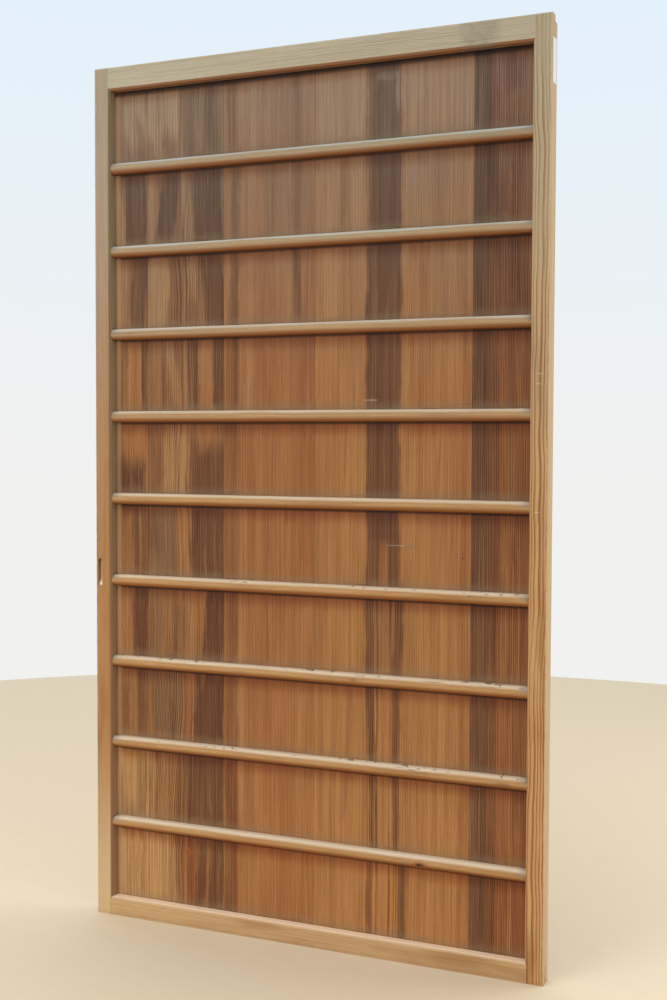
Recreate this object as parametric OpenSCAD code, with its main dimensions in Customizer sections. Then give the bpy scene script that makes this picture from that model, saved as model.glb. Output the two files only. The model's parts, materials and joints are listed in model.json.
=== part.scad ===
// Battened board sliding door leaf: a cedar frame holding upright boards in
// grooves, with half-round battens laid across the boards.
// X runs across the leaf, Y through it (the battened face looks to -Y), Z up.
// The origin is the middle of the leaf's foot.

/* [Leaf] */
// Width of the leaf over both stiles
leaf_w = 960; // [860:5:1100]
// Height of the leaf
leaf_h = 1757; // [1600:1:2000]
// Thickness of the frame
leaf_t = 34; // [33:1:40]

/* [Frame] */
// Face width of each stile, inner bevel included
stile_w = 35; // [32:1:60]
// Height of the top rail, inner bevel included
top_rail_h = 46; // [44:1:80]
// Height of the bottom rail, inner bevel included
bottom_rail_h = 38; // [36:1:120]
// Bevel on the inner front edge of the frame, mitred at the corners
inner_bevel = 4; // [2:0.5:6]
// Small bevel that takes the sharpness off the outer edges
edge_bevel = 0.8; // [0.4:0.1:1.5]

/* [Track fit] */
// Thickness of the front tongue that runs in the lintel groove
tongue_t = 19; // [16:0.5:22]
// Height of that tongue, cut down from the back of the leaf
tongue_h = 12; // [8:1:14]

/* [Battens] */
// Height of a batten
batten_h = 24; // [20:1:24]
// How far a batten stands off the boards
batten_d = 18; // [12.5:0.5:18]

/* [Boards] */
// Depth of the boards' face behind the frame's face
panel_recess = 22; // [20:0.5:23]
// Thickness of a board
board_t = 7; // [5:0.5:7.5]
// Share of the opening's width that the first board shows, in percent
board_1_share = 8.7; // [6:0.1:11]
// Share that the second board shows
board_2_share = 19.8; // [15:0.1:24]
// Share that the third board shows
board_3_share = 22.5; // [15:0.1:24]
// Share that the fourth board shows; the fifth board takes the rest
board_4_share = 36; // [25:0.1:37]

/* [Finger pull] */
// Height of the finger pull, carved in the left stile
pull_h = 60; // [40:1:90]
// Width of the finger pull
pull_w = 10; // [8:0.5:14]
// Depth of the finger pull at its upper end
pull_d = 8; // [5:0.5:10]
// Height of the middle of the finger pull above the foot
pull_z = 720; // [500:5:1100]
// Distance from the leaf's left edge to the middle of the finger pull
pull_inset = 9.5; // [8:0.5:14]

/* [Hidden] */

$fn = 48;
over = 1;

frame_col = "burlywood";
batten_col = "tan";
board_col = "peru";
wedge_col = "sandybrown";
nail_col = "dimgray";
label_col = "white";

half_w = leaf_w / 2;
front_y = -leaf_t / 2;
back_y = leaf_t / 2;

// The opening between the rails and between the stiles
open_x = half_w - stile_w;
open_z0 = bottom_rail_h;
open_z1 = leaf_h - top_rail_h;

// The boards and the groove that holds them on all four sides
board_y0 = front_y + panel_recess;
board_y1 = board_y0 + board_t;
groove_play = 0.1;
groove_depth = 7;
board_hold = 6;
lap_w = 6;
joint_gap = 0.3;
board_x0 = -open_x - board_hold;
board_x1 = open_x + board_hold;
board_z0 = open_z0 - board_hold;
board_z1 = open_z1 + board_hold;

// Where one board's face ends and the next begins
shares = [board_1_share, board_2_share, board_3_share, board_4_share];
face_joints = [
    for (i = [0 : len(shares) - 1])
        -open_x + 2 * open_x * share_sum(i) / 100
];
board_lefts = concat([-open_x], face_joints);
board_rights = concat(face_joints, [open_x]);
board_n = len(board_lefts);

// Battens, from the top one down, with equal clear gaps between them
batten_n = 9;
batten_gap = (open_z1 - open_z0 - batten_n * batten_h) / (batten_n + 1);
batten_zs = [
    for (i = [0 : batten_n - 1])
        open_z1 - batten_gap - batten_h / 2 - i * (batten_gap + batten_h)
];
batten_r = batten_h / 2;
batten_flat = batten_d - batten_r;

// Stub tenons at the battens' ends
stub_len = 8;
stub_h = 16;
stub_t = 7;
stub_y = board_y0 - 3 - stub_t;

// The rails' through tenons, in the middle of the thickness
tenon_t = 10;
tenon_y = -8;
wedge_out = 2.5;
wedge_in = 0.6;
wedge_len = 26;
top_tenon_z0 = open_z1 + 9;
top_tenon_z1 = leaf_h - 15;
low_tenon_z0 = 8;
low_tenon_z1 = bottom_rail_h - 9;

// Nails driven from the back through the boards into the battens
nail_r = 0.9;
nail_head_r = 2;
nail_head_t = 1;
nail_len = 17;
wide_board = 250;
nail_xs = [
    for (i = [0 : board_n - 1])
        let (w = board_rights[i] - board_lefts[i], n = w > wide_board ? 2 : 1)
            for (k = [1 : n])
                board_lefts[i] + w * (2 * k - 1) / (2 * n)
];

// One nail in the face of the lowest batten, near its right end
face_nail_inset = 13;
face_nail_sink = 0.4;
face_nail_bite = 3;

// Paper label on the outer edge of the right stile
label_w = 24;
label_h = 80;
label_t = 0.25;
label_drop = 41;

// Share of the opening taken by boards 0 to i, in percent
function share_sum(i) = i < 0 ? 0 : shares[i] + share_sum(i - 1);

module left_stile() {
    color(frame_col)
        difference() {
            left_stile_blank();
            finger_pull();
        }
}

module right_stile() {
    color(frame_col)
        mirror([1, 0, 0])
            left_stile_blank();
}

// A stile seen from the front: narrower by the bevel where a rail meets it,
// with the bevel's mitre running across to the inner corner.
module stile_outline() {
    shoulder_x = -open_x - inner_bevel;
    polygon([
        [-half_w, 0],
        [shoulder_x, 0],
        [shoulder_x, open_z0 - inner_bevel],
        [-open_x, open_z0],
        [-open_x, open_z1],
        [shoulder_x, open_z1 + inner_bevel],
        [shoulder_x, leaf_h],
        [-half_w, leaf_h]
    ]);
}

module left_stile_blank() {
    difference() {
        extrude_through()
            stile_outline();
        // Inner front bevel
        translate([-open_x, front_y, -over])
            linear_extrude(leaf_h + 2 * over)
                bevel_cutter(inner_bevel, 90);
        // Outer front and back edges
        translate([-half_w, front_y, -over])
            linear_extrude(leaf_h + 2 * over)
                bevel_cutter(edge_bevel, 0);
        translate([-half_w, back_y, -over])
            linear_extrude(leaf_h + 2 * over)
                bevel_cutter(edge_bevel, 270);
        top_rebate();
        // Groove for the boards
        translate([-open_x - groove_depth, board_y0 - groove_play, board_z0 - over])
            cube([
                groove_depth + over,
                board_t + 2 * groove_play,
                board_z1 - board_z0 + 2 * over
            ]);
        for (z = batten_zs)
            stub_mortise(z);
        through_mortise(top_tenon_z0, top_tenon_z1);
        through_mortise(low_tenon_z0, low_tenon_z1);
    }
}

// Stands an outline drawn in X and Z up, and gives it the leaf's thickness.
module extrude_through() {
    translate([0, back_y, 0])
        rotate([90, 0, 0])
            linear_extrude(leaf_t)
                children();
}

// A corner triangle of side s, turned to the edge it takes off.
module bevel_cutter(s, turn) {
    rotate(turn)
        polygon([[-over, -over], [s + over, -over], [s, 0], [0, s], [-over, s + over]]);
}

// The back of the head is cut away and leaves the front tongue.
module top_rebate() {
    translate([-half_w - over, front_y + tongue_t, leaf_h - tongue_h])
        cube([leaf_w + 2 * over, leaf_t, tongue_h + over]);
}

module stub_mortise(z) {
    translate([-open_x - stub_len - 0.5, stub_y, z - stub_h / 2])
        cube([stub_len + 0.5 + over, stub_t, stub_h]);
}

// Mortise with room above and below the tenon for its wedges.
module through_mortise(z0, z1) {
    translate([0, tenon_y + tenon_t, 0])
        rotate([90, 0, 0])
            linear_extrude(tenon_t)
                polygon([
                    [-half_w - over, z0 - wedge_out],
                    [-half_w, z0 - wedge_out],
                    [-half_w + wedge_len, z0 - wedge_in],
                    [-half_w + wedge_len, z0],
                    [-open_x + over, z0],
                    [-open_x + over, z1],
                    [-half_w + wedge_len, z1],
                    [-half_w + wedge_len, z1 + wedge_in],
                    [-half_w, z1 + wedge_out],
                    [-half_w - over, z1 + wedge_out]
                ]);
}

// Finger pull: a slot with round ends whose floor ramps up to the face
// over its lower third.
module finger_pull() {
    end_r = pull_w / 2;
    ramp_h = pull_h / 3;
    low_z = pull_z - pull_h / 2;
    floor_y = pull_d + over;
    translate([-half_w + pull_inset, front_y, 0])
        difference() {
            translate([0, pull_d, 0])
                rotate([90, 0, 0])
                    linear_extrude(pull_d + over)
                        union() {
                            translate([-end_r, low_z + end_r])
                                square([pull_w, pull_h - pull_w]);
                            translate([0, low_z + end_r])
                                circle(r = end_r);
                            translate([0, low_z + pull_h - end_r])
                                circle(r = end_r);
                        }
            translate([-pull_w, 0, low_z])
                rotate([90, 0, 90])
                    linear_extrude(2 * pull_w)
                        polygon([[0, 0], [floor_y, ramp_h * floor_y / pull_d], [floor_y, 0]]);
        }
}

// A rail seen from the front. Its shoulders meet the stiles at the edge of the
// stiles' bevel, and its own bevel is mitred.
module rail_outline(z_out, z_in) {
    shoulder_x = open_x + inner_bevel;
    bevel_z = z_in > z_out ? z_in - inner_bevel : z_in + inner_bevel;
    polygon([
        [-shoulder_x, z_out],
        [-shoulder_x, bevel_z],
        [-open_x, z_in],
        [open_x, z_in],
        [shoulder_x, bevel_z],
        [shoulder_x, z_out]
    ]);
}

// Rail with its tenons: z_out is its outer edge and z_in its inner edge.
module rail(z_out, z_in, tenon_z0, tenon_z1) {
    inward = z_in > z_out ? 1 : -1;
    difference() {
        union() {
            extrude_through()
                rail_outline(z_out, z_in);
            translate([-half_w, tenon_y, tenon_z0])
                cube([leaf_w, tenon_t, tenon_z1 - tenon_z0]);
        }
        // Inner front bevel
        translate([-half_w, front_y, z_in])
            rotate([90, 0, 90])
                linear_extrude(leaf_w)
                    polygon([
                        [-over, -inward * (inner_bevel + over)],
                        [0, -inward * inner_bevel],
                        [inner_bevel, 0],
                        [inner_bevel + over, inward * over],
                        [-over, inward * over]
                    ]);
        // Groove for the boards
        translate([
            -half_w,
            board_y0 - groove_play,
            inward > 0 ? z_in - groove_depth : z_in - over
        ])
            cube([leaf_w, board_t + 2 * groove_play, groove_depth + over]);
    }
}

module top_rail() {
    color(frame_col)
        difference() {
            rail(leaf_h, open_z1, top_tenon_z0, top_tenon_z1);
            top_rebate();
        }
}

module bottom_rail() {
    color(frame_col)
        rail(0, open_z0, low_tenon_z0, low_tenon_z1);
}

// Upright board with half-lapped edges: its front half stops at the face joint
// and the back half of the board to its left reaches under it.
module board(i) {
    first = i == 0;
    last = i == board_n - 1;
    mid_y = (board_y0 + board_y1) / 2;
    face_x0 = first ? board_x0 : board_lefts[i] + joint_gap / 2;
    face_x1 = last ? board_x1 : board_rights[i] - joint_gap / 2;
    back_x0 = first ? board_x0 : board_lefts[i] + lap_w + joint_gap / 2;
    back_x1 = last ? board_x1 : board_rights[i] + lap_w - joint_gap / 2;
    color(board_col)
        difference() {
            translate([0, 0, board_z0])
                linear_extrude(board_z1 - board_z0)
                    polygon([
                        [face_x0, board_y0],
                        [face_x1, board_y0],
                        [face_x1, mid_y],
                        [back_x1, mid_y],
                        [back_x1, board_y1],
                        [back_x0, board_y1],
                        [back_x0, mid_y],
                        [face_x0, mid_y]
                    ]);
            for (x = nail_xs)
                if (x > board_lefts[i] && x < board_rights[i])
                    for (z = batten_zs)
                        nail(x, z);
            if (last)
                face_nail_shape(batten_zs[batten_n - 1]);
        }
}

// Half-round batten with a stub tenon at each end.
module batten(i) {
    z = batten_zs[i];
    color(batten_col)
        difference() {
            union() {
                translate([-open_x, 0, z])
                    rotate([90, 0, 90])
                        linear_extrude(2 * open_x)
                            batten_profile();
                translate([-open_x - stub_len, stub_y, z - stub_h / 2])
                    cube([2 * (open_x + stub_len), stub_t, stub_h]);
            }
            for (x = nail_xs)
                nail(x, z);
            if (i == batten_n - 1)
                face_nail_shape(z);
        }
}

module batten_profile() {
    difference() {
        union() {
            translate([board_y0 - batten_flat, 0])
                circle(r = batten_r);
            translate([board_y0 - batten_flat, -batten_r])
                square([batten_flat, batten_h]);
        }
        translate([board_y0, -batten_h])
            square([batten_h, 2 * batten_h]);
    }
}

// One nail from the back, its head let in flush with the board.
module nail(x, z) {
    translate([x, board_y1, z])
        rotate([90, 0, 0])
            union() {
                cylinder(r = nail_r, h = nail_len);
                cylinder(r = nail_head_r, h = nail_head_t);
            }
}

module batten_nails() {
    color(nail_col)
        for (x = nail_xs, z = batten_zs)
            nail(x, z);
}

// Headless nail sunk just below the crown of the batten.
module face_nail_shape(z) {
    translate([open_x - face_nail_inset, board_y0 - batten_d + face_nail_sink, z])
        rotate([-90, 0, 0])
            cylinder(r = nail_r, h = batten_d - face_nail_sink + face_nail_bite);
}

module face_nail() {
    color(nail_col)
        face_nail_shape(batten_zs[batten_n - 1]);
}

// The pair of wedges at the left end of one tenon.
module wedge_pair(z0, z1) {
    for (side = [0, 1])
        translate([0, tenon_y + tenon_t, side == 0 ? z0 : z1])
            mirror([0, 0, side == 0 ? 1 : 0])
                rotate([90, 0, 0])
                    linear_extrude(tenon_t)
                        polygon([
                            [-half_w, 0],
                            [-half_w + wedge_len, 0],
                            [-half_w + wedge_len, wedge_in],
                            [-half_w, wedge_out]
                        ]);
}

module tenon_wedges() {
    color(wedge_col)
        for (side = [0, 1])
            mirror([side, 0, 0]) {
                wedge_pair(top_tenon_z0, top_tenon_z1);
                wedge_pair(low_tenon_z0, low_tenon_z1);
            }
}

module paper_label() {
    color(label_col)
        translate([half_w, -label_w / 2, leaf_h - label_drop - label_h])
            cube([label_t, label_w, label_h]);
}

left_stile();
right_stile();
top_rail();
bottom_rail();
board(0);  // board_1
board(1);  // board_2
board(2);  // board_3
board(3);  // board_4
board(4);  // board_5
batten(0);  // batten_1
batten(1);  // batten_2
batten(2);  // batten_3
batten(3);  // batten_4
batten(4);  // batten_5
batten(5);  // batten_6
batten(6);  // batten_7
batten(7);  // batten_8
batten(8);  // batten_9
tenon_wedges();
batten_nails();
face_nail();
paper_label();
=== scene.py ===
"""Battened board sliding door leaf: aged cedar frame, boards and half-round battens.
Metres, +Z up, the battened face looks to -Y."""

import json
import math

import bmesh
import bpy
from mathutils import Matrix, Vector, noise

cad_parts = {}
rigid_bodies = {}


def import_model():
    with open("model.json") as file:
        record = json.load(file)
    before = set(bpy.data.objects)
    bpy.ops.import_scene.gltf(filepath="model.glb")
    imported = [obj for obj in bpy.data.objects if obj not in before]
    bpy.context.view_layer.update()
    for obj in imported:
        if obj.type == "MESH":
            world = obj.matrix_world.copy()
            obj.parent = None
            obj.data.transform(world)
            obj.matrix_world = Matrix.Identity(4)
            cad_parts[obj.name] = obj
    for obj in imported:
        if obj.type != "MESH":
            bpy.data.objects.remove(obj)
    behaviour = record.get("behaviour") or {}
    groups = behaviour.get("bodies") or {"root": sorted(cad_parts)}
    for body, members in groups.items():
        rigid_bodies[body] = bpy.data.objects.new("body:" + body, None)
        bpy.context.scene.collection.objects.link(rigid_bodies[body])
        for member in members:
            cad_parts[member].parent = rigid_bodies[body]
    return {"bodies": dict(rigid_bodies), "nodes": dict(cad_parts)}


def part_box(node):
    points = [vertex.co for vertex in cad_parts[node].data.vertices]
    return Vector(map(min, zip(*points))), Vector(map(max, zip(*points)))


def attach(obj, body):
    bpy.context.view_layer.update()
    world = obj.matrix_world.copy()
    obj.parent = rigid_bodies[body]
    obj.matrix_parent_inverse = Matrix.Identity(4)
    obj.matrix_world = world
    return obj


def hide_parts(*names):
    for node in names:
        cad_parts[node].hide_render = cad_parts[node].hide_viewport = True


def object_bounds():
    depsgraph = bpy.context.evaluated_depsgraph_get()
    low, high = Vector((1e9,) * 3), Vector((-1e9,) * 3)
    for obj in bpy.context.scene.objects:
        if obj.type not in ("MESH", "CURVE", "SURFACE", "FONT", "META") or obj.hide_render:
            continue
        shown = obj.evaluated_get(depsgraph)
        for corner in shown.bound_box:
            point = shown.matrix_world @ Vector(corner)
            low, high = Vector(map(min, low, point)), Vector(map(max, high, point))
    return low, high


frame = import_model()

cad_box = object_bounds()
BODY = next(iter(frame["bodies"]))

# The leaf's own sizes, read from the frame
FOOT, HEAD = cad_box[0].z, cad_box[1].z
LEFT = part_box("left_stile")[0].x
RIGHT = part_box("right_stile")[1].x
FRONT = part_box("left_stile")[0].y
OPEN_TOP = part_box("top_rail")[0].z
BATTENS = ["batten_%d" % i for i in range(1, 10)]
BOARDS = ["board_%d" % i for i in range(1, 6)]
BATTEN_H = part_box("batten_1")[1].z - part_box("batten_1")[0].z
PITCH = (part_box("batten_1")[0].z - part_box("batten_9")[0].z) / (len(BATTENS) - 1)
CLEAR_GAP = PITCH - BATTEN_H
OPEN_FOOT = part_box("bottom_rail")[1].z
OPEN_HALF = -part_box("left_stile")[1].x
BOARD_MID = (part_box("board_1")[0].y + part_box("board_1")[1].y) / 2

# Middle of the finger pull, and the bevel round the opening
PULL_X = LEFT + 0.0095
PULL_Z = 0.720
BEVEL = 0.004


def mm(length):
    """Millimetres as metres."""
    return length / 1000.0


# ---------------------------------------------------------------- camera

# Place in metres, turn in degrees, lens and sensor in millimetres
VIEW_PLACE = (1.0880, -2.3845, 0.9947)
VIEW_TURN = (87.507, -0.196, 23.492)
VIEW_LENS = 48.33
VIEW_SENSOR = 36.0


def set_camera():
    data = bpy.data.cameras.new("view")
    data.sensor_width = VIEW_SENSOR
    data.lens = VIEW_LENS
    camera = bpy.data.objects.new("view", data)
    camera.location = VIEW_PLACE
    camera.rotation_euler = [math.radians(a) for a in VIEW_TURN]
    bpy.context.scene.collection.objects.link(camera)
    bpy.context.scene.camera = camera


# ---------------------------------------------------------------- shader helpers

def tone(r, g, b):
    """Linear colour from an 8-bit display colour."""
    def linear(v):
        v /= 255.0
        return v / 12.92 if v <= 0.04045 else ((v + 0.055) / 1.055) ** 2.4
    return (linear(r), linear(g), linear(b), 1.0)


class Net:
    """Adds shader nodes to a tree. An input may be a number, a colour or a socket."""

    def __init__(self, tree):
        self.tree = tree

    def node(self, kind, **settings):
        made = self.tree.nodes.new(kind)
        for key, value in settings.items():
            setattr(made, key, value)
        return made

    def feed(self, socket, value):
        if isinstance(value, bpy.types.NodeSocket):
            self.tree.links.new(value, socket)
        else:
            socket.default_value = value

    def math(self, operation, a, b=0.0, c=0.0):
        made = self.node("ShaderNodeMath", operation=operation)
        for socket, value in zip(made.inputs, (a, b, c)):
            self.feed(socket, value)
        return made.outputs[0]

    def add(self, a, b):
        return self.math("ADD", a, b)

    def sub(self, a, b):
        return self.math("SUBTRACT", a, b)

    def mul(self, a, b):
        return self.math("MULTIPLY", a, b)

    def mul_add(self, a, b, c):
        return self.math("MULTIPLY_ADD", a, b, c)

    def ease(self, value, low, high, to_low=0.0, to_high=1.0):
        """Smooth step of value between low and high."""
        made = self.node("ShaderNodeMapRange", interpolation_type="SMOOTHSTEP")
        for socket, given in zip(made.inputs, (value, low, high, to_low, to_high)):
            self.feed(socket, given)
        return made.outputs[0]

    def mix(self, share, a, b, blend="MIX"):
        made = self.node("ShaderNodeMix", data_type="RGBA", blend_type=blend)
        self.feed(made.inputs[0], share)
        self.feed(made.inputs[6], a)
        self.feed(made.inputs[7], b)
        return made.outputs[2]

    def shade(self, share, colour, tint):
        """Darkens a colour towards its product with a tint."""
        return self.mix(share, colour, tint, "MULTIPLY")

    def vector(self, x, y, z):
        made = self.node("ShaderNodeCombineXYZ")
        for socket, value in zip(made.inputs, (x, y, z)):
            self.feed(socket, value)
        return made.outputs[0]

    def noise(self, vector, scale=1.0, detail=2.0, roughness=0.5):
        made = self.node("ShaderNodeTexNoise")
        self.feed(made.inputs["Vector"], vector)
        made.inputs["Scale"].default_value = scale
        made.inputs["Detail"].default_value = detail
        made.inputs["Roughness"].default_value = roughness
        return made.outputs[0]

    def flat_noise(self, u, v, seed, u_scale, v_scale, detail=2.0):
        """Noise over a plane, stretched by its two scales."""
        return self.noise(self.vector(self.mul(u, u_scale), seed, self.mul(v, v_scale)), detail=detail)

    def use(self, group, **values):
        """Places a node group; keywords name its inputs, with _ for a space."""
        made = self.node("ShaderNodeGroup", node_tree=GROUPS[group])
        for key, value in values.items():
            self.feed(made.inputs[key.replace("_", " ")], value)
        return made.outputs


GROUPS = {}


def new_group(name, numbers, colours=(), results=(), result_colours=()):
    tree = bpy.data.node_groups.new(name, "ShaderNodeTree")
    for label in numbers:
        tree.interface.new_socket(label, in_out="INPUT", socket_type="NodeSocketFloat")
    for label in colours:
        tree.interface.new_socket(label, in_out="INPUT", socket_type="NodeSocketColor")
    for label in results:
        tree.interface.new_socket(label, in_out="OUTPUT", socket_type="NodeSocketFloat")
    for label in result_colours:
        tree.interface.new_socket(label, in_out="OUTPUT", socket_type="NodeSocketColor")
    GROUPS[name] = tree
    net = Net(tree)
    given = net.node("NodeGroupInput").outputs
    result = net.node("NodeGroupOutput").inputs
    return net, given, result


# ---------------------------------------------------------------- shared effects

def growth_ring_group():
    """Rings of a log seen on a sawn face: latewood lines, slow bands and fine fibre."""
    net, given, result = new_group(
        "growth_rings",
        ("Across", "Depth", "Along", "Pith", "Pith Depth", "Ring Width", "Sway", "Seed"),
        results=("Latewood", "Band", "Fibre", "Pore"),
    )
    across, depth, along, seed = given["Across"], given["Depth"], given["Along"], given["Seed"]
    slow = net.sub(net.flat_noise(across, along, seed, 5.0, 2.4), 0.5)
    quick = net.sub(net.flat_noise(across, along, seed, 22.0, 11.0, 1.0), 0.5)
    sway = net.mul(net.mul_add(quick, 0.22, slow), given["Sway"])
    swayed = net.add(net.sub(across, given["Pith"]), sway)
    deep = net.add(depth, given["Pith Depth"])
    radius = net.math("SQRT", net.mul_add(swayed, swayed, net.mul(deep, deep)))
    rings = net.math("DIVIDE", radius, given["Ring Width"])
    uneven = net.noise(net.vector(net.mul(rings, 0.31), seed, 0.0), detail=1.0)
    phase = net.math("FRACT", net.mul_add(uneven, 2.6, rings))
    net.feed(result["Latewood"], net.mul(net.ease(phase, 0.30, 0.88), net.ease(phase, 1.0, 0.90)))
    bands = net.vector(net.mul(rings, 0.17), seed, net.mul(along, 0.9))
    net.feed(result["Band"], net.noise(bands, detail=2.0))
    fibres = net.vector(net.mul(across, 380.0), net.mul(depth, 380.0), net.mul(along, 4.0))
    net.feed(result["Fibre"], net.noise(fibres, detail=3.0, roughness=0.6))
    pores = net.vector(net.mul(across, 1700.0), net.mul(depth, 1700.0), net.mul(along, 45.0))
    net.feed(result["Pore"], net.noise(pores, detail=1.0))


def long_streak_group():
    """A streak that runs with the grain from one height to another, with ragged ends."""
    net, given, result = new_group(
        "long_streak", ("Across", "Along", "Centre", "Lean", "Low", "High", "Half Width", "Edge"),
        results=("Mask",),
    )
    middle = net.mul(net.add(given["Low"], given["High"]), 0.5)
    leaning = net.mul_add(net.sub(given["Along"], middle), given["Lean"], given["Centre"])
    off = net.math("ABSOLUTE", net.sub(given["Across"], leaning))
    side = net.sub(off, given["Half Width"])
    mask = net.ease(side, given["Edge"], net.mul(given["Edge"], -1.0))
    fade = 0.022
    starts = net.ease(given["Along"], net.sub(given["Low"], fade), net.add(given["Low"], fade))
    stops = net.ease(given["Along"], net.add(given["High"], fade), net.sub(given["High"], fade))
    net.feed(result["Mask"], net.mul(net.mul(mask, starts), stops))


def spot_group():
    """An oval mark such as a knot, a smear or a scratch."""
    net, given, result = new_group(
        "spot", ("Across", "Along", "Centre", "Middle", "Half Width", "Half Length"), results=("Mask",)
    )
    dx = net.math("DIVIDE", net.sub(given["Across"], given["Centre"]), given["Half Width"])
    dz = net.math("DIVIDE", net.sub(given["Along"], given["Middle"]), given["Half Length"])
    reach = net.math("SQRT", net.mul_add(dx, dx, net.mul(dz, dz)))
    net.feed(result["Mask"], net.ease(reach, 1.2, 0.55))


def bay_group():
    """Places on the boards between two battens: the strip under one, partly unfaded wood and partly
    painted shadow, the painted shadow line right against it, and the dusty strip on top of the next."""
    net, given, result = new_group(
        "bay", ("Along", "Wander", "Front"), results=("Unfaded And Shadow", "Contact Shadow", "Dusty")
    )
    down = net.math("DIVIDE", net.sub(OPEN_TOP, given["Along"]), PITCH)
    below = net.mul(net.math("FRACT", down), PITCH)
    wander = net.mul(net.sub(given["Wander"], 0.5), 0.016)
    front = given["Front"]
    # Painted shadow, together with unfaded wood, in the strip under each batten
    net.feed(result["Unfaded And Shadow"], net.mul(net.ease(net.add(below, wander), 0.036, 0.003), front))
    # Painted shadow: the dark line right under each batten
    net.feed(result["Contact Shadow"], net.mul(net.ease(below, 0.0065, 0.0015), front))
    above = net.sub(CLEAR_GAP, below)
    net.feed(result["Dusty"], net.mul(net.ease(net.add(above, wander), 0.022, 0.0), front))


def opening_edge_group():
    """Grime and painted shade on the boards where they run into the frame."""
    net, given, result = new_group("opening_edge", ("Across", "Along", "Reach"), results=("Mask",))
    side = net.sub(OPEN_HALF, net.math("ABSOLUTE", given["Across"]))
    top = net.sub(OPEN_TOP, given["Along"])
    foot = net.sub(given["Along"], OPEN_FOOT)
    near = net.math("MINIMUM", side, net.math("MINIMUM", top, foot))
    net.feed(result["Mask"], net.ease(near, given["Reach"], 0.0))


def head_patina_and_sheen_group():
    """Greys a wood towards the head of the leaf: partly aged patina, partly a painted cool sheen
    reflection.
    """
    net, given, result = new_group(
        "head_patina_and_sheen", ("Along", "Wander", "Start", "Amount", "Fade"), ("Colour", "Tone"),
        result_colours=("Colour",),
    )
    height = net.mul_add(net.sub(given["Wander"], 0.5), 0.35, given["Along"])
    share = net.ease(height, given["Start"], 1.85)
    faded = net.node("ShaderNodeHueSaturation")
    net.feed(faded.inputs["Saturation"], net.sub(1.0, net.mul(share, given["Fade"])))
    net.feed(faded.inputs["Value"], net.sub(1.0, net.mul(share, net.mul(given["Fade"], 0.75))))
    net.feed(faded.inputs["Color"], given["Colour"])
    net.feed(result["Colour"], net.mix(net.mul(share, given["Amount"]), faded.outputs[0], given["Tone"]))


def arris_wear_group():
    """Rubbed edges: how near a face runs to the outline of the leaf."""
    net, given, result = new_group("arris_wear", ("Across", "Along", "Wander", "Reach"), results=("Mask",))
    left = net.sub(given["Across"], LEFT)
    right = net.sub(RIGHT, given["Across"])
    foot = net.sub(given["Along"], FOOT)
    head = net.sub(HEAD, given["Along"])
    near = net.math("MINIMUM", net.math("MINIMUM", left, right), net.math("MINIMUM", foot, head))
    rubbed = net.mul_add(net.sub(given["Wander"], 0.5), 0.006, near)
    net.feed(result["Mask"], net.ease(rubbed, given["Reach"], 0.0))


def build_groups():
    growth_ring_group()
    long_streak_group()
    spot_group()
    bay_group()
    opening_edge_group()
    head_patina_and_sheen_group()
    arris_wear_group()


# ---------------------------------------------------------------- wood finishes

def new_material(name):
    material = bpy.data.materials.new(name)
    material.use_nodes = True
    tree = material.node_tree
    tree.nodes.clear()
    net = Net(tree)
    shader = net.node("ShaderNodeBsdfPrincipled")
    output = net.node("ShaderNodeOutputMaterial")
    tree.links.new(shader.outputs[0], output.inputs[0])
    return material, net, shader


def object_place(net):
    return net.node("ShaderNodeTexCoord").outputs["Object"]


def object_axes(net):
    parts = net.node("ShaderNodeSeparateXYZ")
    net.feed(parts.inputs[0], object_place(net))
    return parts.outputs[0], parts.outputs[1], parts.outputs[2]


def finish_wood(net, shader, colour, height, fibre, bump_mm):
    net.feed(shader.inputs["Base Color"], colour)
    net.feed(shader.inputs["Roughness"], net.ease(fibre, 0.2, 0.8, 0.68, 0.52))
    shader.inputs["Specular IOR Level"].default_value = 0.16
    bump = net.node("ShaderNodeBump")
    bump.inputs["Distance"].default_value = mm(bump_mm)
    bump.inputs["Strength"].default_value = 0.8
    net.feed(bump.inputs["Height"], height)
    net.feed(shader.inputs["Normal"], bump.outputs[0])


def grain_height(net, rings, line):
    height = net.mul_add(rings["Latewood"], line, net.mul(rings["Fibre"], 0.7))
    return net.mul_add(rings["Pore"], 0.25, height)


def rings_of(net, figure, pith, across, depth, along, seed):
    return net.use(
        "growth_rings", Across=across, Depth=depth, Along=along, Pith=pith,
        Pith_Depth=mm(figure["behind"]), Ring_Width=mm(figure["ring"]), Sway=mm(figure["sway"]), Seed=seed,
    )


# Tones of the cedar as it looks near the foot
TONES = dict(
    umber=tone(102, 62, 36), violet=tone(102, 72, 50), rust=tone(140, 78, 40), amber=tone(170, 116, 64),
    light=tone(178, 136, 86), sap=tone(184, 140, 88), smoke=tone(126, 96, 68), chalk=tone(190, 184, 174),
    ink=tone(46, 34, 28),
)
# Grey tone at the head: partly patina, partly a painted cool sheen reflection
HEAD_PATINA_AND_SHEEN = tone(138, 134, 106)

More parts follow.
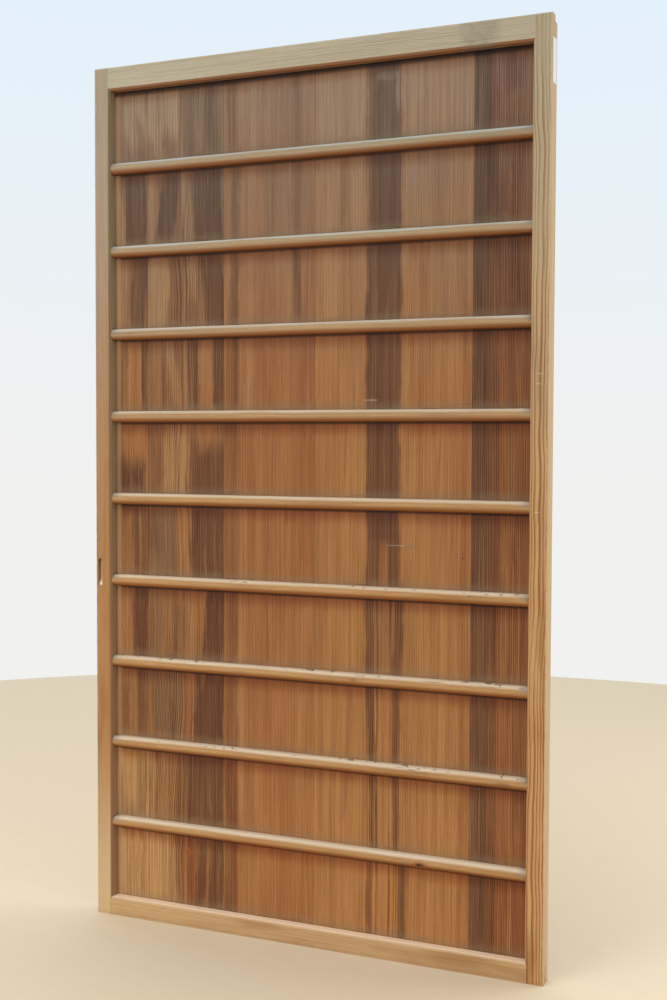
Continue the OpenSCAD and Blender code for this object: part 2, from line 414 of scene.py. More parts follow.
# What darkens the wood, as shares of its red, green and blue. Several are painted shade: the shadow under
# the battens and the top rail, the middle heights, the left stile's bevel and the battens' undersides.
TINTS = dict(
    slow_band=(0.80, 0.77, 0.74, 1.0), band=(0.66, 0.54, 0.47, 1.0), thread=(0.62, 0.50, 0.42, 1.0),
    latewood=(0.50, 0.38, 0.30, 1.0), fibre=(0.62, 0.54, 0.48, 1.0), pore=(0.5, 0.42, 0.36, 1.0),
    mid_height_shade=(0.72, 0.68, 0.64, 1.0), unfaded_and_shadow=(0.66, 0.44, 0.31, 1.0), scuff=(0.55, 0.48, 0.44, 1.0),
    contact_shadow=(0.16, 0.12, 0.10, 1.0), grime_and_shade=(0.30, 0.26, 0.24, 1.0), shadow_under_rail=(0.16, 0.13, 0.11, 1.0),
    blotch=(0.78, 0.68, 0.58, 1.0), planed_fibre=(0.72, 0.64, 0.56, 1.0), bevel=(0.54, 0.54, 0.54, 1.0),
    damp_foot=(0.66, 0.56, 0.48, 1.0), underside=(0.40, 0.30, 0.24, 1.0),
)

# A streak longer than this runs through the board and shows on its back too
THROUGH_MM = 1200

# Each board: face tone, pith across and behind, ring width, sway, weight of the latewood
# lines and of the fine bands, and for some how much the figure wobbles and how hazy the
# head is. Then streaks as tone, weight, place, lean, foot end, head end, half width, where
# "stripes" are stronger latewood lines, and spots as tone, weight, place, height, half
# width, half height. All in mm from the leaf's left edge and foot; lean is mm per metre.
BOARD_FIGURE = {
    "board_1": dict(face=tone(156, 107, 63), pith=20, behind=14, ring=3.0, sway=40, line=0.60, bands=0.8,
                    streaks=[
        ("light", 0.8, 84, 0, 1600, 1720, 24), ("umber", 0.45, 96, -60, 1560, 1650, 7),
        ("umber", 0.85, 84, 60, 1385, 1560, 25), ("light", 0.7, 44, -110, 1380, 1560, 7),
        ("umber", 0.75, 92, 40, 1212, 1388, 18), ("light", 0.45, 50, 0, 1222, 1372, 13),
        ("amber", 0.65, 80, 0, 1050, 1205, 15), ("umber", 0.65, 105, 0, 1040, 1212, 7),
        ("umber", 0.4, 46, 0, 1056, 1180, 9), ("amber", 0.65, 80, -90, 945, 1036, 24),
        ("umber", 0.8, 68, 20, 862, 952, 36), ("umber", 0.6, 82, 0, 714, 872, 7),
        ("umber", 0.5, 104, 0, 712, 866, 9), ("amber", 0.5, 38, 0, 712, 866, 7),
        ("amber", 0.5, 46, -60, 546, 698, 14), ("stripes", 0.9, 70, 0, 862, 965, 38),
        ("umber", 0.85, 95, 50, 530, 700, 19),
        ("umber", 0.6, 98, 0, 372, 530, 13), ("umber", 0.35, 54, 0, 380, 500, 15),
        ("sap", 0.95, 76, 0, -60, 352, 44), ("umber", 0.45, 46, 0, 205, 300, 3),
        ("umber", 0.35, 88, 0, 205, 345, 10), ("umber", 0.4, 104, 0, 200, 350, 5),
        ("smoke", 0.4, 70, 0, 190, 235, 34),
        ("umber", 0.3, 66, 0, 40, 150, 2), ("umber", 0.35, 96, 0, 40, 188, 5),
        ("rust", 0.3, 40, 0, 30, 180, 3)]),
    "board_2": dict(face=tone(155, 107, 63), pith=200, behind=26, ring=2.8, sway=46, line=0.80, bands=0.7,
                    streaks=[
        ("light", 0.9, 148, 30, 1612, 1730, 36), ("light", 0.7, 134, -150, 1555, 1650, 9),
        ("umber", 0.3, 207, 0, 1560, 1720, 14), ("umber", 0.5, 264, 0, 1560, 1720, 15),
        ("stripes", 0.7, 170, 0, 876, 1036, 34), ("stripes", 0.8, 186, 0, 540, 700, 24),
        ("stripes", 1.0, 156, 0, 376, 530, 36), ("stripes", 1.0, 152, 0, 204, 366, 34),
        ("light", 0.20, 160, 0, 204, 366, 22),
        ("stripes", 0.8, 166, 0, 30, 190, 24), ("stripes", 0.5, 190, 0, 1222, 1376, 20),
        ("umber", 0.85, 163, 130, 1402, 1552, 24), ("light", 0.5, 118, 0, 1390, 1541, 7),
        ("light", 0.4, 206, -160, 1392, 1556, 13), ("umber", 0.85, 254, 0, 1385, 1562, 33),
        ("light", 0.95, 137, 20, 1222, 1376, 23), ("light", 0.5, 216, 60, 1272, 1376, 11),
        ("umber", 0.8, 264, -110, 1212, 1388, 26), ("umber", 0.6, 218, 0, 1050, 1206, 14),
        ("amber", 0.75, 249, 0, 1046, 1210, 13), ("umber", 0.8, 277, 0, 1046, 1212, 12),
        ("light", 0.5, 174, -130, 1070, 1204, 11), ("umber", 0.4, 152, -60, 1058, 1150, 3),
        ("light", 0.65, 177, 0, 880, 1036, 26), ("amber", 0.8, 246, 0, 968, 1036, 15),
        ("umber", 0.72, 256, 0, 876, 984, 33), ("umber", 0.4, 128, 0, 880, 1040, 13),
        ("umber", 0.5, 217, 0, 868, 1000, 8),
        ("smoke", 0.6, 146, 0, 710, 866, 32), ("umber", 0.3, 128, 0, 760, 840, 20),
        ("amber", 0.7, 199, 0, 722, 868, 12),
        ("umber", 0.75, 251, 0, 708, 868, 38), ("smoke", 0.35, 130, 0, 546, 690, 16),
        ("amber", 0.6, 229, 60, 606, 700, 18), ("umber", 0.9, 268, 90, 540, 700, 22),
        ("umber", 0.4, 182, 0, 546, 664, 10), ("smoke", 0.5, 158, 0, 384, 524, 34),
        ("umber", 0.45, 172, 0, 374, 450, 8), ("rust", 0.5, 214, 0, 372, 524, 16),
        ("umber", 0.9, 256, 0, 372, 532, 36), ("amber", 0.5, 241, 0, 498, 530, 6),
        ("light", 0.6, 121, 0, 196, 366, 7), ("umber", 0.3, 190, 0, 204, 360, 14),
        ("umber", 0.8, 246, 0, 200, 366, 46),
        ("sap", 0.85, 136, 0, -60, 188, 30), ("light", 0.7, 172, -80, -60, 188, 12),
        ("rust", 0.6, 206, 0, 30, 188, 13), ("umber", 0.75, 236, 40, 30, 190, 11),
        ("umber", 0.7, 270, 0, 30, 190, 17)], spots=[
        ("ink", 0.8, 205, 147, 3.2, 5), ("rust", 0.7, 205, 147, 8, 11)]),
    "board_3": dict(face=tone(167, 112, 63), pith=-60, behind=70, ring=2.5, sway=14, line=0.50, bands=0.40,
                    wobble=12, streaks=[
        ("stripes", 1.0, 306, 0, -60, 1200, 17), ("umber", 0.45, 316, 0, 1060, 1350, 6),
        ("amber", 0.35, 296, 0, 1050, 1545, 8),
        ("amber", 0.5, 295, 0, 880, 1560, 6), ("umber", 0.45, 313, 20, 1220, 1560, 9),
        ("umber", 0.32, 306, 0, 372, 1046, 16), ("rust", 0.6, 304, 0, 190, 380, 12),
        ("umber", 0.5, 304, 0, -60, 360, 15), ("rust", 0.5, 318, 0, -60, 366, 6),
        ("light", 0.2, 333, 0, -60, 870, 9),
        ("umber", 0.4, 308, 0, 1550, 1730, 12), ("umber", 0.35, 452, 0, 1390, 1730, 8),
        ("light", 0.35, 350, 20, 1050, 1730, 8),
        ("smoke", 0.35, 392, -20, 1390, 1560, 16), ("light", 0.3, 430, 0, 1222, 1560, 9),
        ("rust", 0.3, 372, 0, 1050, 1380, 12),
        ("umber", 0.65, 452, -40, 1222, 1378, 7), ("rust", 0.35, 468, 0, 690, 1210, 22),
        ("rust", 0.18, 400, 0, -60, 700, 30)]),
    "board_4": dict(face=tone(177, 123, 70), pith=636, behind=40, ring=2.7, sway=14, line=0.55, bands=0.45,
                    wobble=12, streaks=[
        ("light", 0.55, 574, 0, 1376, 1730, 12), ("light", 0.3, 520, 0, 1200, 1730, 20),
        ("smoke", 0.3, 545, 30, 1390, 1560, 8), ("light", 0.35, 700, 0, 1390, 1730, 22),
        ("smoke", 0.25, 748, 0, 1222, 1560, 14),
        ("umber", 0.85, 633, 0, 796, 1730, 35), ("rust", 0.45, 602, 0, 1390, 1730, 5),
        ("umber", 0.75, 612, 0, 706, 806, 15), ("umber", 0.75, 656, 0, 706, 806, 13),
        ("rust", 0.5, 634, 0, 700, 796, 8), ("umber", 0.4, 634, 0, 520, 710, 26),
        ("umber", 0.75, 607, -20, 350, 712, 8), ("umber", 0.75, 663, 30, 350, 712, 8),
        ("umber", 0.5, 636, 20, 370, 540, 4), ("umber", 0.7, 615, 0, 190, 372, 7),
        ("umber", 0.7, 661, 0, 190, 372, 6), ("umber", 0.4, 636, 0, 200, 350, 4),
        ("stripes", 0.6, 634, 0, -60, 720, 34), ("umber", 0.65, 608, 0, -60, 192, 5),
        ("umber", 0.75, 675, 10, -60, 196, 8),
        ("amber", 0.4, 636, 0, -60, 560, 13), ("rust", 0.25, 712, 0, 860, 1380, 9),
        ("rust", 0.3, 796, 0, -60, 1400, 8), ("umber", 0.25, 560, 50, 260, 520, 6)], spots=[
        ("chalk", 0.15, 660, 1652, 5, 40), ("chalk", 0.10, 640, 1684, 26, 10),
        ("ink", 0.12, 626, 1640, 16, 40),
        ("chalk", 0.30, 607, 1074, 15, 2.4),
        ("rust", 0.3, 602, 1610, 3, 30), ("rust", 0.3, 669, 1606, 3, 20),
        ("chalk", 0.34, 664, 797, 27, 0.9), ("smoke", 0.6, 687, 796, 11, 5),
        ("ink", 0.7, 793, 786, 1.2, 2), ("ink", 0.7, 794, 777, 1.2, 2)]),
    "board_5": dict(face=tone(150, 96, 55), pith=1080, behind=60, ring=3.0, sway=12, line=1.0, bands=0.7,
                    wobble=12, haze=0.04, streaks=[
        ("violet", 0.72, 826, 0, -60, 1730, 16), ("stripes", 0.5, 868, 0, -60, 1730, 46),
        ("umber", 0.4, 850, 0, -60, 1390, 9), ("umber", 0.4, 856, 0, 1380, 1560, 18),
        ("umber", 0.4, 880, 0, 1215, 1370, 30), ("smoke", 0.3, 824, 0, 1560, 1730, 18),
        ("rust", 0.7, 868, 60, 1560, 1730, 20), ("amber", 0.4, 862, -80, 1590, 1730, 6),
        ("rust", 0.4, 890, 0, 1390, 1560, 22), ("umber", 0.35, 850, 0, 380, 700, 8),
        ("amber", 0.3, 880, 0, 30, 1050, 14)], spots=[
        ("smoke", 0.4, 895, 1610, 26, 30)]),
}


def streaked(net, figure, colour, rings, across, along, front):
    """Colour with the board's streaks on it, and how strong its latewood lines are."""
    line = figure["line"]
    for kind, weight, centre, lean, low, high, half_width in figure["streaks"]:
        mask = net.use(
            "long_streak", Across=across, Along=along, Centre=LEFT + mm(centre), Lean=mm(lean),
            Low=mm(low), High=mm(high), Half_Width=mm(half_width), Edge=0.0045,
        )["Mask"]
        if high - low < THROUGH_MM:
            mask = net.mul(mask, front)
        if kind == "stripes":
            line = net.mul_add(mask, weight, line)
            continue
        uneven = net.add(rings["Band"], net.mul(rings["Fibre"], 0.35))
        patchy = net.mul(mask, net.ease(uneven, 0.2, 0.75, 0.7, 1.1))
        colour = net.mix(net.mul(patchy, weight), colour, TONES[kind])
    return colour, line


def fine_grain(net, colour, rings, line, bands_weight, across, x, z, seed):
    """Bands, threads, latewood lines, fibres and pores of a board."""
    bands_at = net.vector(net.mul(across, 62.0), seed + 5.0, net.mul(z, 3.0))
    bands = net.noise(bands_at, detail=5.0, roughness=0.68)
    colour = net.shade(net.ease(bands, 0.50, 0.70, 0.0, bands_weight), colour, TINTS["band"])
    colour = net.mix(net.ease(bands, 0.48, 0.32, 0.0, 0.45 * bands_weight), colour, TONES["light"])
    thread = net.flat_noise(x, z, seed + 12.0, 520.0, 2.2)
    colour = net.shade(net.ease(thread, 0.50, 0.66, 0.0, 0.8 * bands_weight), colour, TINTS["thread"])
    colour = net.mix(net.ease(thread, 0.44, 0.30, 0.0, 0.3 * bands_weight), colour, tone(200, 152, 102))
    clear = net.ease(net.flat_noise(x, z, seed + 7.0, 16.0, 5.0), 0.36, 0.64, 0.35, 1.0)
    colour = net.shade(net.mul(net.mul(rings["Latewood"], line), clear), colour, TINTS["latewood"])
    colour = net.shade(net.ease(rings["Fibre"], 0.62, 0.34, 0.0, 0.42), colour, TINTS["fibre"])
    return net.shade(net.ease(rings["Pore"], 0.62, 0.42, 0.0, 0.16), colour, TINTS["pore"])


def sheltered_places(net, colour, ragged, front, x, z, seed):
    """Painted shadow under the battens and the top rail, painted light by the left stile, dust, and grime
    with painted shade where a board meets the battens and the frame.
    """
    bay = net.use("bay", Along=z, Wander=ragged, Front=front)
    # Painted shadow, together with unfaded wood, under each batten
    colour = net.shade(net.mul(bay["Unfaded And Shadow"], 0.9), colour, TINTS["unfaded_and_shadow"])
    colour = net.mix(net.mul(bay["Dusty"], 0.34), colour, tone(128, 108, 82))
    scuffs = net.ease(net.flat_noise(x, z, seed + 8.0, 14.0, 700.0, 1.0), 0.60, 0.68)
    colour = net.shade(net.mul(net.mul(scuffs, bay["Dusty"]), 0.7), colour, TINTS["scuff"])
    # Painted shadow: the dark line right under each batten
    colour = net.shade(net.mul(bay["Contact Shadow"], 0.85), colour, TINTS["contact_shadow"])
    # Grime and painted shade where the boards run into the frame
    grime_and_shade = net.use("opening_edge", Across=x, Along=z, Reach=0.0045)["Mask"]
    colour = net.shade(net.mul(grime_and_shade, 0.15), colour, TINTS["grime_and_shade"])
    # Painted light: lightens the boards next to the left stile to lift the shade there
    corner = net.mul(net.ease(x, LEFT + 0.052, LEFT + 0.038), front)
    colour = net.mix(net.mul(corner, 0.45), colour, tone(206, 166, 122))
    # Painted shadow on the boards right under the top rail
    shadow_under_rail = net.mul(net.ease(z, OPEN_TOP - 0.014, OPEN_TOP - 0.005), front)
    return net.shade(net.mul(shadow_under_rail, 0.92), colour, TINTS["shadow_under_rail"])


def board_material(name, seed):
    figure = BOARD_FIGURE[name]
    material, net, shader = new_material(name + "_cedar")
    x, y, z = object_axes(net)
    rings = rings_of(net, figure, LEFT + mm(figure["pith"]), x, y, z, seed)
    wobble = net.flat_noise(x, z, seed, 7.0, 8.0, 3.0)
    ragged = net.flat_noise(x, z, seed, 45.0, 22.0, 2.0)
    tongues = net.flat_noise(x, z, seed + 3.0, 48.0, 5.0, 3.0)
    fray = net.flat_noise(x, z, seed + 6.0, 330.0, 3.0)
    front = net.ease(y, BOARD_MID + 0.001, BOARD_MID)
    across = net.mul_add(net.sub(wobble, 0.5), mm(figure.get("wobble", 26)), x)
    across = net.mul_add(net.sub(ragged, 0.5), 0.008, across)
    frayed = net.mul_add(net.sub(fray, 0.5), 0.017, across)
    along = net.mul_add(net.sub(tongues, 0.5), 0.075, z)
    colour = net.shade(net.ease(rings["Band"], 0.35, 0.75), figure["face"], TINTS["slow_band"])
    colour, line = streaked(net, figure, colour, rings, frayed, along, front)
    colour = fine_grain(net, colour, rings, line, figure["bands"], across, x, z, seed)
    # Greyer towards the head: partly patina, partly a painted cool sheen reflection
    colour = net.use("head_patina_and_sheen", Colour=colour, Tone=HEAD_PATINA_AND_SHEEN, Along=z, Wander=wobble, Start=1.0,
                     Amount=figure.get("haze", 0.16), Fade=0.30)["Colour"]
    # Painted shade: darkens the middle heights of the board, between the foot and the head
    mid_height_shade = net.mul(net.ease(z, 0.12, 0.85), net.ease(z, 1.72, 1.42))
    colour = net.shade(net.mul(mid_height_shade, 0.5), colour, TINTS["mid_height_shade"])
    colour = sheltered_places(net, colour, ragged, front, x, z, seed)
    for kind, weight, centre, middle, half_width, half_height in figure.get("spots", []):
        mask = net.use(
            "spot", Across=across if half_height > 10 else x, Along=z, Centre=LEFT + mm(centre),
            Middle=mm(middle), Half_Width=mm(half_width), Half_Length=mm(half_height),
        )["Mask"]
        patchy = net.mul(net.mul(mask, front), net.ease(ragged, 0.3, 0.6, 0.5, 1.0))
        colour = net.mix(net.mul(patchy, weight), colour, TONES[kind])
    finish_wood(net, shader, colour, grain_height(net, rings, 0.6), rings["Fibre"], 0.35)
    return material


# Frame pieces: way of the grain, tone near the foot, tone at the head (partly patina, partly painted
# cool sheen), tint of the latewood lines, then pith across (from the left edge or the foot) and behind,
# ring width and sway, all in mm, and the weight of the lines
FRAME_FIGURE = {
    "left_stile": dict(
        along="Z", foot=tone(166, 120, 74), head=tone(164, 152, 132), late=(0.70, 0.55, 0.42, 1.0),
        pith=-150, behind=50, ring=3.4, sway=20, line=0.55),
    "right_stile": dict(
        along="Z", foot=tone(186, 146, 94), head=tone(170, 162, 136), late=(0.58, 0.34, 0.22, 1.0),
        pith=1085, behind=30, ring=6.4, sway=30, line=1.0),
    "top_rail": dict(
        along="X", foot=tone(190, 160, 118), head=tone(178, 170, 148), late=(0.66, 0.60, 0.52, 1.0),
        pith=2300, behind=30, ring=3.0, sway=60, line=0.9),
    "bottom_rail": dict(
        along="X", foot=tone(190, 154, 108), head=tone(190, 154, 108), late=(0.66, 0.50, 0.38, 1.0),
        pith=-60, behind=30, ring=2.8, sway=24, line=0.55),
}


def plain_wood(net, figure, pith, across, length, y, z, seed):
    """Colour and rings of a straight-grained piece, before its own marks."""
    rings = rings_of(net, figure, pith, across, y, length, seed)
    blotch = net.flat_noise(across, length, seed, 26.0, 5.0, 4.0)
    colour = net.shade(net.ease(blotch, 0.42, 0.72), figure["foot"], TINTS["blotch"])
    clear = net.ease(net.flat_noise(across, length, seed + 7.0, 20.0, 4.0), 0.32, 0.6, 0.45, 1.0)
    # Greyer towards the head: partly patina, partly a painted cool sheen reflection
    colour = net.use("head_patina_and_sheen", Colour=colour, Tone=figure["head"], Along=z, Wander=blotch, Start=0.65,
                     Amount=0.86, Fade=0.0)["Colour"]
    clear = net.mul(clear, net.ease(z, 0.9, 1.75, 1.0, 0.7))
    colour = net.shade(net.mul(net.mul(rings["Latewood"], figure["line"]), clear), colour, figure["late"])
    colour = net.shade(net.ease(rings["Fibre"], 0.60, 0.32, 0.0, 0.40), colour, TINTS["planed_fibre"])
    colour = net.shade(net.ease(rings["Pore"], 0.62, 0.42, 0.0, 0.14), colour, TINTS["pore"])
    return colour, rings, blotch


def left_stile_marks(net, colour, fine, x, y, z):
    """A lighter foot, painted light on the side that faces the opening, painted shade on its bevel, and
    the finger pull with painted light on its lower end.
    """
    colour = net.mix(net.ease(z, 0.42, 0.04, 0.0, 0.75), colour, tone(196, 167, 124))
    # Painted light: a lighter tone on the side that faces the opening, which gets little light
    start = net.ease(z, 0.2, 1.7, LEFT + 0.0310, LEFT + 0.0335)
    inner = net.ease(x, start, net.add(start, 0.0012))
    inner_painted_light = net.mix(net.ease(z, 0.3, 1.2), tone(176, 134, 98), tone(166, 148, 118))
    colour = net.mix(net.mul(inner, 0.9), colour, inner_painted_light)
    # Painted shade on the bevel along the opening
    shallow = net.ease(y, FRONT + BEVEL + 0.0003, FRONT + BEVEL - 0.0003)
    bevel = net.mul(net.ease(x, LEFT + 0.0320, LEFT + 0.0330), shallow)
    colour = net.shade(bevel, colour, TINTS["bevel"])
    pull = net.use(
        "spot", Across=x, Along=z, Centre=PULL_X, Middle=PULL_Z, Half_Width=0.0062, Half_Length=0.040,
    )["Mask"]
    # Painted light in the finger pull: a lighter floor, brightest on its lower end where light falls
    deep = net.ease(y, FRONT + 0.0006, FRONT + 0.003)
    lit_ramp = net.ease(z, PULL_Z - 0.016, PULL_Z - 0.024)
    pull_painted_light = net.mix(lit_ramp, tone(192, 156, 120), tone(222, 208, 188))
    return net.mix(net.mul(net.mul(pull, deep), 0.95), colour, pull_painted_light)


def right_stile_marks(net, colour, fine, x, y, z):
    """Painted shade on the side that faces the opening, painted light on the outer side face and arris,
    and two pairs of nicks.
    """
    # Painted shade on the side that faces the opening
    inner = net.ease(x, RIGHT - 0.0352, RIGHT - 0.0362)
    colour = net.mix(net.mul(inner, 0.75), colour, tone(98, 70, 50))
    # Painted light on the outer side face and its arris, lit from the right
    lit_flank = net.ease(x, RIGHT - 0.0020, RIGHT - 0.0010)
    colour = net.mix(net.mul(lit_flank, 0.6), colour, tone(196, 170, 130))
    for height in (0.850, 0.868, 1.100, 1.118):
        middle = RIGHT - 0.022 + 0.2 * (height - 0.95) ** 2
        nick = net.use(
            "spot", Across=x, Along=z, Centre=middle, Middle=height, Half_Width=0.007, Half_Length=0.0016,
        )["Mask"]
        broken = net.mul(nick, net.ease(fine, 0.42, 0.62))
        colour = net.mix(net.mul(broken, 0.35), colour, tone(214, 190, 152))
    return colour


def top_rail_marks(net, colour, fine, x, y, z):
    """Painted shade on the underside with its bevel, and a stain near the right end."""
    # Painted shade: the down-facing underside and its bevel, darker and warmer
    under = net.ease(z, OPEN_TOP + 0.0046, OPEN_TOP + 0.0030)
    colour = net.mix(net.mul(under, 0.85), colour, tone(128, 74, 38))
    stain = net.use(
        "spot", Across=x, Along=z, Centre=RIGHT - 0.135, Middle=HEAD - 0.010, Half_Width=0.040,
        Half_Length=0.060,
    )["Mask"]
    uneven = net.mul(stain, net.ease(fine, 0.3, 0.7, 0.4, 1.0))
    return net.mix(net.mul(uneven, 0.5), colour, tone(116, 112, 94))


def bottom_rail_marks(net, colour, fine, x, y, z):
    """Painted light on the bevel along the opening and on the ledge in front of the boards, which face up
    to the light.
    """
    # Painted light on the bevel along the opening
    upper = net.ease(z, OPEN_FOOT - 0.0038, OPEN_FOOT - 0.0024)
    colour = net.mix(net.mul(upper, 0.6), colour, tone(208, 172, 136))
    # Painted light on the up-facing ledge
    ledge = net.ease(z, OPEN_FOOT - 0.0008, OPEN_FOOT - 0.0002)
    return net.mix(net.mul(ledge, 0.9), colour, tone(250, 216, 178))


FRAME_MARKS = dict(
    left_stile=left_stile_marks, right_stile=right_stile_marks, top_rail=top_rail_marks,
    bottom_rail=bottom_rail_marks,
)


def frame_material(node, seed):
    figure = FRAME_FIGURE[node]
    material, net, shader = new_material(node + "_cedar")
    x, y, z = object_axes(net)
    upright = figure["along"] == "Z"
    across, length = (x, z) if upright else (z, x)
    pith = mm(figure["pith"]) + (LEFT if upright else 0.0)
    colour, rings, blotch = plain_wood(net, figure, pith, across, length, y, z, seed)
    fine = net.flat_noise(x, z, seed, 60.0, 60.0, 3.0)
    colour = FRAME_MARKS[node](net, colour, fine, x, y, z)
    worn = net.use("arris_wear", Across=x, Along=z, Wander=fine, Reach=0.0035)["Mask"]
    colour = net.mix(net.mul(worn, 0.35), colour, tone(214, 186, 146))
    damp = net.ease(net.mul_add(fine, 0.012, z), 0.016, 0.004)
    colour = net.shade(net.mul(damp, 0.5), colour, TINTS["damp_foot"])
    finish_wood(net, shader, colour, grain_height(net, rings, 0.7), rings["Fibre"], 0.25)
    return material


BATTEN_FIGURE = dict(
    foot=tone(177, 134, 84), head=tone(158, 146, 120), late=(0.62, 0.44, 0.32, 1.0), behind=40, ring=3.0,
    sway=5, line=0.22,
)
TORN_BATTENS = (6, 7, 8)


def torn_fibres(net, colour, rise, x, z, seed):
    """Short dark tears along the upper side of a batten."""
    torn = net.ease(net.flat_noise(x, z, seed + 9.0, 70.0, 420.0, 1.0), 0.60, 0.66)
    torn = net.mul(torn, net.ease(rise, 0.0065, 0.0090))
    torn = net.mul(torn, net.ease(net.flat_noise(x, z, seed + 4.0, 9.0, 1.0), 0.44, 0.54))
    return net.mix(net.mul(torn, 0.75), colour, tone(104, 82, 70))


def batten_material(node, number, seed):
    low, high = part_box(node)
    middle = (low.z + high.z) / 2
    material, net, shader = new_material(node + "_cedar")
    x, y, z = object_axes(net)
    colour, rings, blotch = plain_wood(net, BATTEN_FIGURE, middle - 0.045, z, x, y, z, seed)
    rise = net.sub(z, middle)
    fine = net.flat_noise(x, z, seed, 55.0, 90.0, 3.0)
    lift = net.mul_add(net.sub(blotch, 0.5), 0.006, rise)
    # Painted shade, warm from floor bounce, with some grime, on the lower half of the batten
    colour = net.mix(net.ease(lift, 0.0005, -0.0088, 0.0, 0.85), colour, tone(120, 62, 20))
    # Dust and a painted cool highlight on the upper side of the batten
    dust_and_highlight = net.mix(net.ease(z, 0.9, 1.6), tone(226, 206, 176), tone(196, 202, 194))
    colour = net.mix(net.ease(lift, 0.0040, 0.0105, 0.0, 0.80), colour, dust_and_highlight)
    # Painted shade on the underside of the batten
    colour = net.shade(net.ease(rise, -0.0085, -0.0118, 0.0, 0.7), colour, TINTS["underside"])
    streaky = net.flat_noise(x, z, seed + 2.0, 16.0, 240.0, 2.0)
    colour = net.shade(net.ease(streaky, 0.60, 0.74, 0.0, 0.35), colour, TINTS["thread"])
    if number in TORN_BATTENS:
        colour = torn_fibres(net, colour, rise, x, z, seed)
    for end in (low.x, high.x):
        near = net.ease(net.math("ABSOLUTE", net.sub(x, end)), 0.030, 0.010)
        upper = net.ease(net.add(rise, net.mul(net.sub(fine, 0.5), 0.01)), -0.004, 0.006)
        colour = net.mix(net.mul(net.mul(near, upper), 0.5), colour, tone(116, 112, 106))
    for kind, weight, centre, height, half_width, half_height in BATTEN_MARKS.get(number, []):
        mark = net.use(
            "spot", Across=net.mul_add(net.sub(fine, 0.5), 0.006, x), Along=rise,
            Centre=LEFT + mm(centre), Middle=mm(height), Half_Width=mm(half_width),
            Half_Length=mm(half_height),
        )["Mask"]
        colour = net.mix(net.mul(mark, weight), colour, TONES[kind])
    finish_wood(net, shader, colour, grain_height(net, rings, 0.4), rings["Fibre"], 0.25)
    return material


# Marks on the battens: tone, weight, place from the left edge, height off the
# batten's middle, half width and half height, in mm
BATTEN_MARKS = {
    6: [("umber", 0.6, 812, 4, 5, 1.0), ("umber", 0.4, 690, -5, 9, 0.8)],
    7: [("rust", 0.55, 742, 8, 24, 0.9), ("rust", 0.45, 850, 7, 20, 0.9), ("umber", 0.3, 580, 0, 8, 5)],
    8: [("smoke", 0.8, 700, 7, 10, 1.0), ("smoke", 0.8, 712, 4, 9, 1.0), ("smoke", 0.7, 728, 5, 8, 0.9),
        ("umber", 0.4, 676, 9, 12, 0.8), ("umber", 0.35, 880, -2, 16, 4)],
    9: [("rust", 0.6, 718, -3, 17, 7), ("umber", 0.85, 718, -3.5, 10, 4.5), ("ink", 0.8, 716, -4, 5, 2.6),
        ("smoke", 0.35, 690, -3, 14, 5), ("umber", 0.5, 905, 3, 1.5, 1.2)],
}


def wedge_material():
    figure = dict(foot=tone(176, 132, 88), head=tone(160, 146, 122), late=(0.60, 0.44, 0.34, 1.0),
                  behind=10, ring=1.4, sway=4, line=0.5)
    material, net, shader = new_material("wedge_cedar")
    x, y, z = object_axes(net)
    colour, rings, blotch = plain_wood(net, figure, 0.7, z, x, y, z, 91.0)
    finish_wood(net, shader, colour, grain_height(net, rings, 0.6), rings["Fibre"], 0.2)
    return material


def iron_material():
    material, net, shader = new_material("nail_iron")
    rust = net.noise(object_place(net), scale=900.0, detail=4.0, roughness=0.6)
    colour = net.mix(net.ease(rust, 0.4, 0.65), tone(52, 46, 42), tone(98, 62, 42))
    net.feed(shader.inputs["Base Color"], colour)
    net.feed(shader.inputs["Roughness"], net.ease(rust, 0.3, 0.7, 0.5, 0.85))
    shader.inputs["Metallic"].default_value = 0.6
    return material


def paper_material():
    material, net, shader = new_material("blank_paper")
    mottle = net.noise(object_place(net), scale=260.0, detail=4.0)
    net.feed(shader.inputs["Base Color"], net.mix(mottle, tone(236, 240, 246), tone(212, 218, 228)))
    shader.inputs["Roughness"].default_value = 0.75
    return material


# ---------------------------------------------------------------- pieces

def merged_copy(node):
    """The node's own shape as a bmesh with whole flat faces."""
    bm = bmesh.new()
    bm.from_mesh(frame["nodes"][node].data)
    bmesh.ops.remove_doubles(bm, verts=bm.verts, dist=1e-6)
    bmesh.ops.dissolve_limit(bm, angle_limit=math.radians(0.5), verts=bm.verts, edges=bm.edges)
    return bm


def ease_edges(bm, width, segments, chosen):
    edges = [e for e in bm.edges if len(e.link_faces) == 2 and chosen(e)]
    bmesh.ops.bevel(
        bm, geom=edges, offset=width, offset_type="OFFSET", segments=segments, profile=0.5,
        affect="EDGES", clamp_overlap=True, material=-1,
    )


def sharp_convex(edge, least_length=0.012):
    sharp = edge.is_convex and edge.calc_face_angle() > math.radians(25)
    return sharp and edge.calc_length() > least_length


def show_piece(bm, name, node, material, smooth=False):
    mesh = bpy.data.meshes.new(name)
    bm.to_mesh(mesh)
    bm.free()
    mesh.materials.append(material)
    if smooth:
        mesh.shade_smooth()
        mesh.set_sharp_from_angle(angle=math.radians(35))
    piece = bpy.data.objects.new(name, mesh)
    bpy.context.scene.collection.objects.link(piece)
    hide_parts(node)
    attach(piece, BODY)
    return piece


def frame_piece(node, material):
    bm = merged_copy(node)
    ease_edges(bm, 0.0007, 2, sharp_convex)
    return show_piece(bm, node + "_planed", node, material)


def board_piece(node, material):
    bm = merged_copy(node)
    ease_edges(bm, 0.00015, 1, lambda e: sharp_convex(e, 1.0))
    return show_piece(bm, node + "_planed", node, material)


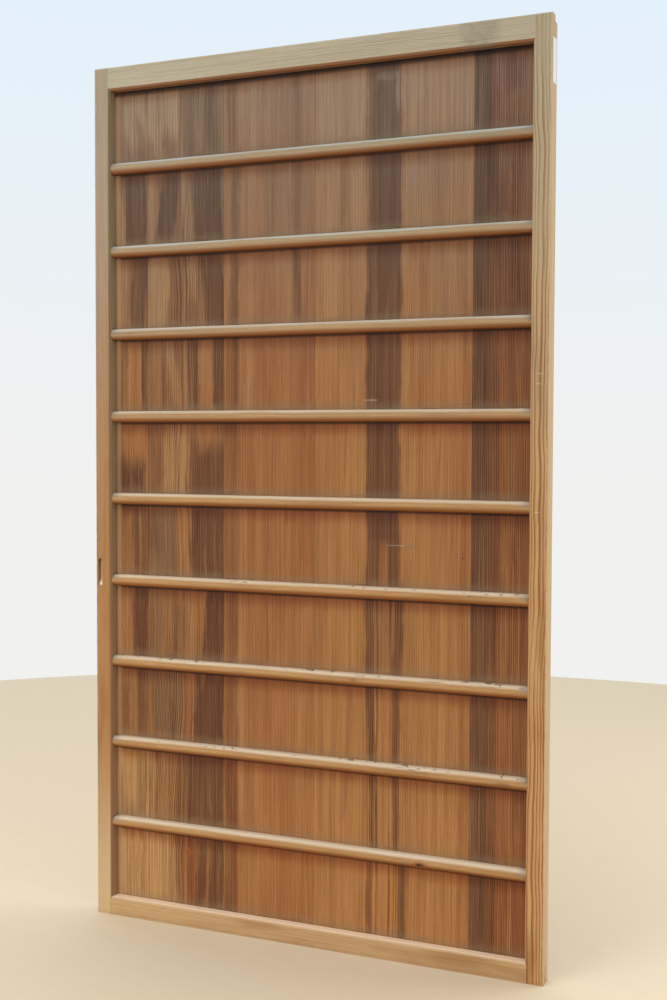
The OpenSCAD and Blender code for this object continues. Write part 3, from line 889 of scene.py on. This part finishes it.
def batten_piece(node, material):
    bm = merged_copy(node)
    long_edges = [e for e in bm.edges if e.calc_length() > 0.8]
    bmesh.ops.subdivide_edges(bm, edges=long_edges, cuts=120, use_grid_fill=True)
    low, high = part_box(node)
    middle = (low + high) / 2
    inner = (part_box("left_stile")[1].x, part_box("right_stile")[0].x)
    for v in bm.verts:
        if inner[0] + 0.002 < v.co.x < inner[1] - 0.002 and v.co.y < high.y - 0.001:
            out = Vector((0.0, v.co.y - high.y, v.co.z - middle.z)).normalized()
            at = Vector((v.co.x * 9.0, v.co.y * 60.0, v.co.z * 60.0))
            v.co -= out * 0.0003 * (1.0 + noise.noise(at))
    return show_piece(bm, node + "_planed", node, material, smooth=True)


# ---------------------------------------------------------------- stage and light

def plain_floor():
    bm = bmesh.new()
    bmesh.ops.create_circle(bm, cap_ends=True, segments=128, radius=3.2)
    mesh = bpy.data.meshes.new("floor")
    bm.to_mesh(mesh)
    bm.free()
    material, net, shader = new_material("pale_floor")
    grain = net.noise(object_place(net), scale=30.0, detail=3.0)
    net.feed(shader.inputs["Base Color"], net.mix(grain, tone(222, 200, 166), tone(226, 205, 172)))
    shader.inputs["Roughness"].default_value = 0.7
    mesh.materials.append(material)
    floor = bpy.data.objects.new("floor", mesh)
    floor.location.z = FOOT
    bpy.context.scene.collection.objects.link(floor)


def area_light(name, place, target, size, power, colour):
    data = bpy.data.lights.new(name, "AREA")
    data.size = size
    data.energy = power
    data.color = colour
    lamp = bpy.data.objects.new(name, data)
    lamp.location = place
    lamp.rotation_euler = (Vector(target) - Vector(place)).to_track_quat("-Z", "Y").to_euler()
    bpy.context.scene.collection.objects.link(lamp)


def studio_light():
    world = bpy.data.worlds.new("pale_room")
    world.use_nodes = True
    net = Net(world.node_tree)
    fill = world.node_tree.nodes["Background"]
    up = net.node("ShaderNodeSeparateXYZ")
    net.feed(up.inputs[0], net.node("ShaderNodeTexCoord").outputs["Generated"])
    dome = net.mix(net.ease(up.outputs[2], 0.0, 0.9), (0.36, 0.37, 0.38, 1.0), (1.10, 1.20, 1.32, 1.0))
    seen = net.mix(net.ease(up.outputs[2], -0.1, 0.4), (0.88, 0.88, 0.86, 1.0), (0.76, 0.88, 0.97, 1.0))
    direct = net.node("ShaderNodeLightPath").outputs["Is Camera Ray"]
    net.feed(fill.inputs[0], net.mix(direct, dome, seen))
    bpy.context.scene.world = world
    area_light("window", (-1.5, -3.4, 1.2), (0.0, 0.0, 0.6), 2.2, 90.0, (0.95, 0.98, 1.0))
    area_light("wall_bounce", (2.2, 1.3, 1.1), (0.48, 0.0, 0.9), 1.8, 26.0, (1.0, 0.98, 0.94))
    bpy.context.scene.view_settings.view_transform = "Standard"


# ---------------------------------------------------------------- assembly

def build():
    build_groups()
    for i, node in enumerate(FRAME_FIGURE):
        frame_piece(node, frame_material(node, 3.0 + 2.0 * i))
    for i, node in enumerate(BOARDS):
        board_piece(node, board_material(node, 11.0 + 7.0 * i))
    for i, node in enumerate(BATTENS):
        batten_piece(node, batten_material(node, i + 1, 60.0 + 5.0 * i))
    iron = iron_material()
    finishes = dict(
        tenon_wedges=wedge_material(), batten_nails=iron, face_nail=iron, paper_label=paper_material(),
    )
    for node, material in finishes.items():
        mesh = frame["nodes"][node].data
        mesh.materials.clear()
        mesh.materials.append(material)


set_camera()
build()
plain_floor()
studio_light()
